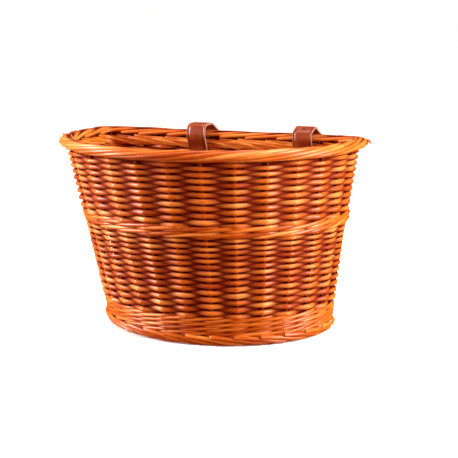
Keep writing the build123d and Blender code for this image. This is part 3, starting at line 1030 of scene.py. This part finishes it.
class BASKET_OT_stray_twigs(bpy.types.Operator):
    """Add the few tips that stand out of the rim"""

    bl_idname = "basket.stray_twigs"
    bl_label = "Stray Twigs"

    def execute(self, context):
        wall = context.scene.basket_wall
        rods = context.scene.basket_rods
        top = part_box("rim_border")[1].z
        chance = np.random.default_rng(61)
        twigs = (
            # share of the way round at the start and end, height below the top, offset, at the start and end
            (0.150, 0.197, -0.0020, -0.0060, 0.0040, 0.0185),
            (0.262, 0.205, -0.0020, 0.0008, 0.0090, 0.0020),
            (0.742, 0.757, -0.0050, -0.0012, 0.0030, 0.0060),
            (0.705, 0.722, -0.0040, -0.0012, 0.0070, 0.0100),
        )
        bundle = []
        for start, end, start_drop, end_drop, start_offset, end_offset in twigs:
            part = np.linspace(0, 1, TWIG_RINGS)
            share = start + (end - start) * part
            level = top + start_drop + (end_drop - start_drop) * part
            offset = start_offset + (end_offset - start_offset) * part**1.5
            places, normals = wall_place(share, np.minimum(level, top), offset)
            places[:, 2] = level
            radius = rods.thin_rod * np.linspace(1.0, 0.62, len(part))
            bundle.append(Rod(places, normals, radius, chance.uniform(0.2, 0.6)))
        piece = lay_rods("stray_twigs", bundle, 8, wall.wall_half, willow())
        fit_to_frame(piece, "basket", "willow")
        return {"FINISHED"}


class BASKET_OT_frame_finish(bpy.types.Operator):
    """Give the stakes, sticks, buckles, rivets and keepers their finish, with painted shade on the stakes and
    sticks
    """

    bl_idname = "basket.frame_finish"
    bl_label = "Frame Finish"

    def execute(self, context):
        colours = context.scene.basket_leather
        stakes = stained_willow("stained_stakes", upright_grain, False)
        sticks = stained_willow("stained_sticks", plain_grain, False)
        nickel = plated_metal("satin_nickel", tuple(colours.nickel), 0.28)
        brass = plated_metal("satin_brass", tuple(colours.brass), 0.32)
        leather = strap_leather("keeper_leather", False)
        part_materials = {
            "stakes": stakes,
            "base_sticks": sticks,
            "strap_rivet": brass,
            "buckle": nickel,
            "keeper": leather,
        }
        for node, piece in frame["nodes"].items():
            for word, material in part_materials.items():
                if word in node:
                    piece.data.materials.clear()
                    piece.data.materials.append(material)
        return {"FINISHED"}


def rounded_line(corners, turn_step=math.radians(12)):
    """Points along straight runs joined by arcs: corners are (y, z, radius), ends have no radius."""
    corners = np.array(corners)
    line = [corners[0, :2]]
    for before, here, after in zip(corners, corners[1:], corners[2:]):
        into = here[:2] - before[:2]
        out = after[:2] - here[:2]
        into /= np.linalg.norm(into)
        out /= np.linalg.norm(out)
        turn = math.acos(np.clip(into @ out, -1, 1))
        side = 1.0 if into[0] * out[1] - into[1] * out[0] > 0 else -1.0
        cut = here[2] * math.tan(turn / 2)
        start = here[:2] - into * cut
        centre = start + side * here[2] * np.array([-into[1], into[0]])
        steps = max(2, math.ceil(turn / turn_step))
        for angle in np.linspace(0, turn, steps + 1):
            spoke = start - centre
            swing = side * angle
            line.append(centre + np.array([
                spoke[0] * math.cos(swing) - spoke[1] * math.sin(swing),
                spoke[0] * math.sin(swing) + spoke[1] * math.cos(swing),
            ]))
    line.append(corners[-1, :2])
    return np.array(line)


# The strap's corners: distances from the heel bar or from the rim's underside, and the bends there.
LEAF_BEND_DROP = 6.5 * MM
LEAF_START_BEND = 3 * MM
LEAF_END_BEND = 2 * MM
FOLD_OVER_RISE = 1.5 * MM
FOLD_OVER_DROP = 3 * MM
FOLD_OVER_BEND = 4 * MM
TAIL_SETTLE_DROP = 8 * MM
BULGE_START_DROP = 13 * MM
BULGE_START_BEND = 20 * MM
BULGE_BEND = 9 * MM
RUN_BEND = 6 * MM
DIVE_RISE = 13.5 * MM
DIVE_BEND = 5 * MM


class StrapLine:
    """The middle line of a strap in the YZ plane, by distance from its riveted leaf's end."""

    def __init__(self, side, shape):
        straps = bpy.context.scene.basket_straps
        joint = next(joint for joint in frame["joints"] if joint["name"] == "buckle_tilt_" + side)
        mount = next(mount for mount in frame["record"]["mounts"] if mount["name"] == "handlebar_" + side)
        heel_y, heel = joint["pos_m"][1:]
        bar = np.array(mount["pos_m"][1:])
        rim_low, rim_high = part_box("rim_border")
        wrap = mount["dims"]["r_mm"] * MM + straps.thickness / 2
        fold = straps.fold_radius
        run = heel_y - fold
        outer = heel_y + fold
        leaf = run + straps.thickness + straps.layer_gap
        tail = leaf + straps.thickness + straps.rivet_head
        over_fold = outer + straps.thickness + straps.over_fold_gap
        slot = bpy.context.scene.basket_rods.slot_height
        inner = -bpy.context.scene.basket_wall.wall_half - straps.inner_gap - straps.thickness / 2
        apex = np.array([shape["apex_y"], rim_high.z + shape["apex_rise"]])
        to_apex = apex - bar
        turn_on = math.atan2(to_apex[1], to_apex[0]) - math.acos(wrap / np.linalg.norm(to_apex))
        turn_off = straps.leave_angle
        middle = (turn_on + turn_off) / 2
        outwards = np.array([math.cos(middle), math.sin(middle)])
        bar_corner = bar + wrap / math.cos((turn_on - turn_off) / 2) * outwards
        leave = bar + wrap * np.array([math.cos(turn_off), math.sin(turn_off)])
        drop = (leave[0] - run) * math.cos(turn_off) / -math.sin(turn_off)
        corners = [
            (leaf, heel - straps.leaf_drop, 0),
            (leaf, heel - LEAF_BEND_DROP, LEAF_START_BEND),
            (outer, heel - FOLD_OVER_RISE, LEAF_END_BEND),
            (outer, heel + fold, fold),
            (run, heel + fold, fold),
            (run, slot, straps.slot_bend),
            (inner, slot, straps.slot_bend),
            (inner, rim_low.z - BULGE_START_DROP, BULGE_START_BEND),
            (shape["bulge_y"], rim_low.z + shape["bulge_rise"], BULGE_BEND),
            (shape["crown_y"], rim_high.z + shape["crown_rise"], shape["crown_bend"]),
            (*apex, shape["apex_bend"]),
            (*bar_corner, wrap),
            (run, leave[1] - drop, RUN_BEND),
            (run, heel + DIVE_RISE, DIVE_BEND),
            (over_fold, heel + FOLD_OVER_RISE, FOLD_OVER_BEND),
            (over_fold, heel - FOLD_OVER_DROP, FOLD_OVER_BEND),
            (tail, heel - TAIL_SETTLE_DROP, FOLD_OVER_BEND),
            (tail, heel - straps.tail_drop, 0),
        ]
        line = rounded_line(corners)
        steps = np.linalg.norm(np.diff(line, axis=0), axis=1)
        keep = np.concatenate([[True], steps > 1e-6])
        self.line = line[keep]
        steps = np.linalg.norm(np.diff(self.line, axis=0), axis=1)
        self.at = np.concatenate([[0], np.cumsum(steps)])
        self.whole = self.at[-1]
        self.heel = heel

    def rows(self, longest):
        """Distances for rows of faces: one at each point of the line, and more along its straight runs."""
        rows = [0.0]
        for start, end in zip(self.at, self.at[1:]):
            count = max(1, math.ceil((end - start) / longest))
            rows.extend(start + (end - start) * (step + 1) / count for step in range(count))
        return np.array(rows)

    def bend(self, along, height):
        """Y and Z of points at distances along the line and heights over its middle."""
        slopes = np.gradient(self.line, self.at, axis=0)
        slopes /= np.linalg.norm(slopes, axis=1, keepdims=True)
        heading = np.stack([np.interp(along, self.at, part) for part in slopes.T], 1)
        heading /= np.linalg.norm(heading, axis=1, keepdims=True)
        middle = np.stack([np.interp(along, self.at, part) for part in self.line.T], 1)
        return middle + np.stack([-heading[:, 1], heading[:, 0]], 1) * height[:, None]

    def nearest(self, y, z, after=0.0):
        """Distance along the line at its nearest point to a place, past a given distance."""
        gaps = np.linalg.norm(self.line - np.array([y, z]), axis=1) + (self.at < after)
        return self.at[int(gaps.argmin())]


def flat_slab(name, across, rows, thickness):
    """A flat slab with columns of faces at given places across and rows at given distances along."""
    bpy.ops.object.select_all(action="DESELECT")
    bpy.ops.mesh.primitive_grid_add(x_subdivisions=len(across) - 1, y_subdivisions=len(rows) - 1, size=1)
    slab = bpy.context.object
    slab.name = name
    points = mesh_points(slab.data)
    column = np.rint((points[:, 0] + 0.5) * (len(across) - 1)).astype(int)
    row = np.rint((points[:, 1] + 0.5) * (len(rows) - 1)).astype(int)
    flat = np.column_stack([np.asarray(across)[column], rows[row], np.zeros(len(points))])
    slab.data.vertices.foreach_set("co", flat.ravel())
    apply_modifier(slab, "SOLIDIFY", thickness=thickness, offset=0.0, use_even_offset=False)
    return slab


PUNCH_SIDES = 24
PUNCH_DEPTH = 20 * MM
LONGEST_ROW = 4 * MM
LINE_NEAR = 0.6 * MM  # beside the pressed line, where the leather is still at its full thickness
EDGE_STRIP = 0.9 * MM
EDGE_BEVEL = 0.35 * MM
TAIL_Y = 16.5 * MM  # near the tail and the fold, where the prong passes through them
FOLD_Y = 12.8 * MM
LEAN = 0.5 * MM
LEAN_WAVES = 60  # radians per metre of strap
RAW_EDGE = 0.45 * MM
RAW_FADE = 0.3 * MM
LINE_SHADE = 0.5 * MM


def punch(slab, places, radius, stretch=0.0):
    """Punches round holes, or long ones, through a slab at distances along its middle."""
    for along in places:
        bpy.ops.object.select_all(action="DESELECT")
        bpy.ops.mesh.primitive_cylinder_add(
            vertices=PUNCH_SIDES, radius=radius, depth=PUNCH_DEPTH, location=(0, along, 0)
        )
        cutter = bpy.context.object
        bpy.ops.object.transform_apply(location=True)
        if stretch:
            for vertex in cutter.data.vertices:
                vertex.co.y += stretch / 2 if vertex.co.y > along else -stretch / 2
        apply_modifier(slab, "BOOLEAN", object=cutter, operation="DIFFERENCE", solver="EXACT")
        bpy.data.objects.remove(cutter)


LOOP_SHAPES = {
    "left": {
        "bulge_y": -17.2 * MM, "bulge_rise": 7 * MM, "crown_y": -14.6 * MM, "crown_rise": 6.6 * MM,
        "crown_bend": 7.5 * MM, "apex_y": 9 * MM, "apex_rise": 7.6 * MM, "apex_bend": 16 * MM,
    },
    "right": {
        "bulge_y": -12.6 * MM, "bulge_rise": 7 * MM, "crown_y": -11.2 * MM, "crown_rise": 2.2 * MM,
        "crown_bend": 4.5 * MM, "apex_y": 5 * MM, "apex_rise": 8.2 * MM, "apex_bend": 7 * MM,
    },
}


class BASKET_OT_straps(bpy.types.Operator):
    """Cut, crease and punch each strap flat, then bend it round the rim, the handlebar and its buckle"""

    bl_idname = "basket.straps"
    bl_label = "Straps"

    def execute(self, context):
        leather = strap_leather("strap_leather", True)
        for side, shape in LOOP_SHAPES.items():
            piece = self.make_strap(context.scene.basket_straps, side, shape)
            piece.data.materials.clear()
            piece.data.materials.append(leather)
            fit_to_frame(piece, "basket", "strap_leather", "strap_" + side)
        return {"FINISHED"}

    def make_strap(self, straps, side, shape):
        """One strap, pressed and punched as a flat slab and then bent along its line."""
        low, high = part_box("strap_" + side)
        centre = (low.x + high.x) / 2
        half = straps.width / 2
        line = StrapLine(side, shape)
        groove = half - straps.line_inset
        line_edges = [groove - LINE_NEAR, groove, groove + LINE_NEAR]
        right = [0.25 * half, 0.55 * half, *line_edges, half - EDGE_STRIP, half]
        across = [-place for place in reversed(right)] + [0.0] + right
        slab = flat_slab("leather_strap_" + side, across, line.rows(LONGEST_ROW), straps.thickness)
        points = mesh_points(slab.data)
        pressed = (np.abs(np.abs(points[:, 0]) - groove) < 0.1 * MM) & (points[:, 2] > 0)
        points[pressed, 2] -= straps.line_depth
        slab.data.vertices.foreach_set("co", points.ravel())
        apply_modifier(
            slab, "BEVEL", width=EDGE_BEVEL, segments=2, limit_method="ANGLE", angle_limit=math.radians(80)
        )
        tail_slot = line.nearest(TAIL_Y, line.heel + straps.slot_rise, line.whole / 2)
        fold_top = line.nearest(FOLD_Y, line.heel + straps.fold_radius)
        spares = [tail_slot - step * straps.hole_spacing for step in (-1, 1, 2, 3)]
        rivet = straps.leaf_drop - straps.rivet_drop
        punch(slab, spares, straps.hole_radius)
        punch(slab, [rivet], straps.rivet_radius)
        punch(slab, [tail_slot], straps.notch_width / 2, straps.slot_length - straps.notch_width)
        punch(slab, [fold_top], straps.notch_width / 2, straps.notch_length - straps.notch_width)
        return self.bend_strap(slab, line, centre, half, groove)

    def bend_strap(self, slab, line, centre, half, groove):
        """Bends a flat strap along its line and marks its raw edges and pressed lines."""
        points = mesh_points(slab.data)
        rim_low, rim_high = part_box("rim_border")
        placed = line.bend(points[:, 1], points[:, 2])
        lift = np.clip((placed[:, 1] - rim_low.z) / (rim_high.z - rim_low.z), 0, 1)
        lean = LEAN * lift * np.sin(points[:, 1] * LEAN_WAVES)
        slab.data.vertices.foreach_set("co", np.column_stack([points[:, 0] + centre + lean, placed]).ravel())
        slab.data.update()
        across = np.abs(points[:, 0])
        set_attribute(slab.data, "edge", np.clip((across - half + RAW_EDGE) / RAW_FADE, 0, 1))
        set_attribute(slab.data, "groove", np.clip(1 - np.abs(across - groove) / LINE_SHADE, 0, 1))
        only(slab)
        bpy.ops.object.shade_smooth_by_angle(angle=math.radians(42))
        return slab


FLOOR_SIZE = 60
BACKDROP_RADIUS = 24


class BASKET_OT_stage(bpy.types.Operator):
    """Set the pale floor and backdrop, the soft lights and the camera"""

    bl_idname = "basket.stage"
    bl_label = "Stage"

    def execute(self, context):
        stage = context.scene.basket_stage
        bpy.ops.object.select_all(action="DESELECT")
        bpy.ops.mesh.primitive_plane_add(size=1, location=(0, 0, 0))
        floor = bpy.context.object
        floor.name = "stage_floor"
        bpy.ops.object.mode_set(mode="EDIT")
        bpy.ops.transform.resize(value=(FLOOR_SIZE, FLOOR_SIZE, 1))
        bpy.ops.mesh.subdivide(number_cuts=8)
        bpy.ops.object.mode_set(mode="OBJECT")
        floor.data.materials.append(self.paper(stage))
        floor.visible_diffuse = False
        floor.visible_glossy = False
        self.add_backdrop()
        self.light_floor(floor, stage)
        self.add_lights(context, stage)
        self.add_camera(context, stage)
        return {"FINISHED"}

    def paper(self, stage):
        """Matt pale paper for the floor."""
        nodes = Nodes("backdrop_paper")
        fibres = nodes.noise(nodes.place((1, 1, 1)), 60.0, 4.0)
        pale = tuple(stage.floor_colour)
        nodes.colour(nodes.mix(nodes.spread(fibres, 0.3, 0.7), pale, tuple(part * 0.985 for part in pale)))
        nodes.set(Roughness=0.8)
        return nodes.material

    def add_backdrop(self):
        """A plain white shell round the stage, that lights nothing."""
        bpy.ops.mesh.primitive_uv_sphere_add(segments=48, ring_count=24, radius=BACKDROP_RADIUS)
        backdrop = bpy.context.object
        backdrop.name = "stage_backdrop"
        nodes = Nodes("backdrop_glow")
        nodes.set(Base_Color=(0, 0, 0, 1), Roughness=1.0, Emission_Color=(1, 1, 1, 1), Emission_Strength=1.0)
        backdrop.data.materials.append(nodes.material)
        backdrop.visible_diffuse = False
        backdrop.visible_glossy = False
        backdrop.visible_shadow = False

    def light_floor(self, floor, stage):
        """A sun that shines on the floor alone."""
        receivers = bpy.data.collections.new("floor_only")
        receivers.objects.link(floor)
        bpy.ops.object.light_add(type="SUN", location=(0, 0, 3))
        sun = bpy.context.object
        sun.name = "light_floor"
        sun.data.energy = stage.floor_light
        sun.data.angle = math.radians(60)
        sun.light_linking.receiver_collection = receivers

    def add_light(self, name, place, target, size, power):
        """A soft lamp turned to a target."""
        bpy.ops.object.light_add(type="AREA", location=place)
        light = bpy.context.object
        light.name = name
        light.data.shape = "RECTANGLE"
        light.data.size, light.data.size_y = size
        light.data.energy = power
        heading = target - light.location
        light.rotation_euler = heading.to_track_quat("-Z", "Y").to_euler()

    def add_lights(self, context, stage):
        """Lamps at both sides and overhead, and an even warm sky."""
        low, high = CAD_BOX
        middle = (low + high) / 2
        self.add_light("light_left", (-1.45, -0.75, 0.62), middle, (0.7, 1.2), stage.left_power)
        self.add_light("light_right", (1.60, -0.10, 0.66), middle, (0.7, 1.2), stage.right_power)
        self.add_light("light_top", (0.05, 0.20, 1.5), middle, (1.2, 0.8), stage.top_power)
        world = bpy.data.worlds.new("soft_sky")
        world.use_nodes = True
        sky = world.node_tree.nodes["Background"]
        sky.inputs["Color"].default_value = (*stage.sky_colour, 1)
        sky.inputs["Strength"].default_value = stage.sky
        context.scene.world = world
        context.scene.view_settings.view_transform = "Standard"

    def add_camera(self, context, stage):
        """The camera, on its circle round the target."""
        across = math.radians(stage.azimuth)
        up = math.radians(stage.elevation)
        bpy.ops.object.camera_add()
        camera = bpy.context.object
        target = np.array(stage.target)
        back = np.array([math.sin(across) * math.cos(up), -math.cos(across) * math.cos(up), math.sin(up)])
        camera.location = target + back * stage.distance
        camera.rotation_euler = (math.pi / 2 - up, 0, across)
        camera.data.lens = stage.lens
        camera.data.sensor_width = 36
        camera.data.clip_end = 50
        context.scene.camera = camera


class BASKET_PT_panel(bpy.types.Panel):
    """The steps of making the basket, and their sizes and colours"""

    bl_idname = "BASKET_PT_panel"
    bl_label = "Handlebar Basket"
    bl_space_type = "VIEW_3D"
    bl_region_type = "UI"
    bl_category = "Basket"

    def draw(self, context):
        for operator in OPERATORS:
            self.layout.operator(operator.bl_idname)
        for name, group in SETTINGS.items():
            box = self.layout.box()
            for setting in group.__annotations__:
                box.prop(getattr(context.scene, name), setting)


SETTINGS = {
    "basket_wall": WallSizes,
    "basket_rods": RodSizes,
    "basket_wicker": WickerColours,
    "basket_straps": StrapSizes,
    "basket_leather": StrapColours,
    "basket_stage": StageSizes,
}
OPERATORS = (
    BASKET_OT_stage,
    BASKET_OT_weave,
    BASKET_OT_wales,
    BASKET_OT_rim,
    BASKET_OT_foot,
    BASKET_OT_base,
    BASKET_OT_stray_twigs,
    BASKET_OT_straps,
    BASKET_OT_frame_finish,
)
CLASSES = (*SETTINGS.values(), *OPERATORS, BASKET_PT_panel)


def register():
    """Registers the classes and hangs the settings on the scene."""
    for kind in CLASSES:
        bpy.utils.register_class(kind)
    for name, group in SETTINGS.items():
        setattr(bpy.types.Scene, name, PointerProperty(type=group))


def unregister():
    """Takes the settings and the classes away."""
    for name in SETTINGS:
        delattr(bpy.types.Scene, name)
    for kind in reversed(CLASSES):
        bpy.utils.unregister_class(kind)


def main():
    """Registers the add-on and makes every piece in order."""
    register()
    for operator in OPERATORS:
        group, name = operator.bl_idname.split(".")
        getattr(getattr(bpy.ops, group), name)()


if __name__ == "__main__":
    main()
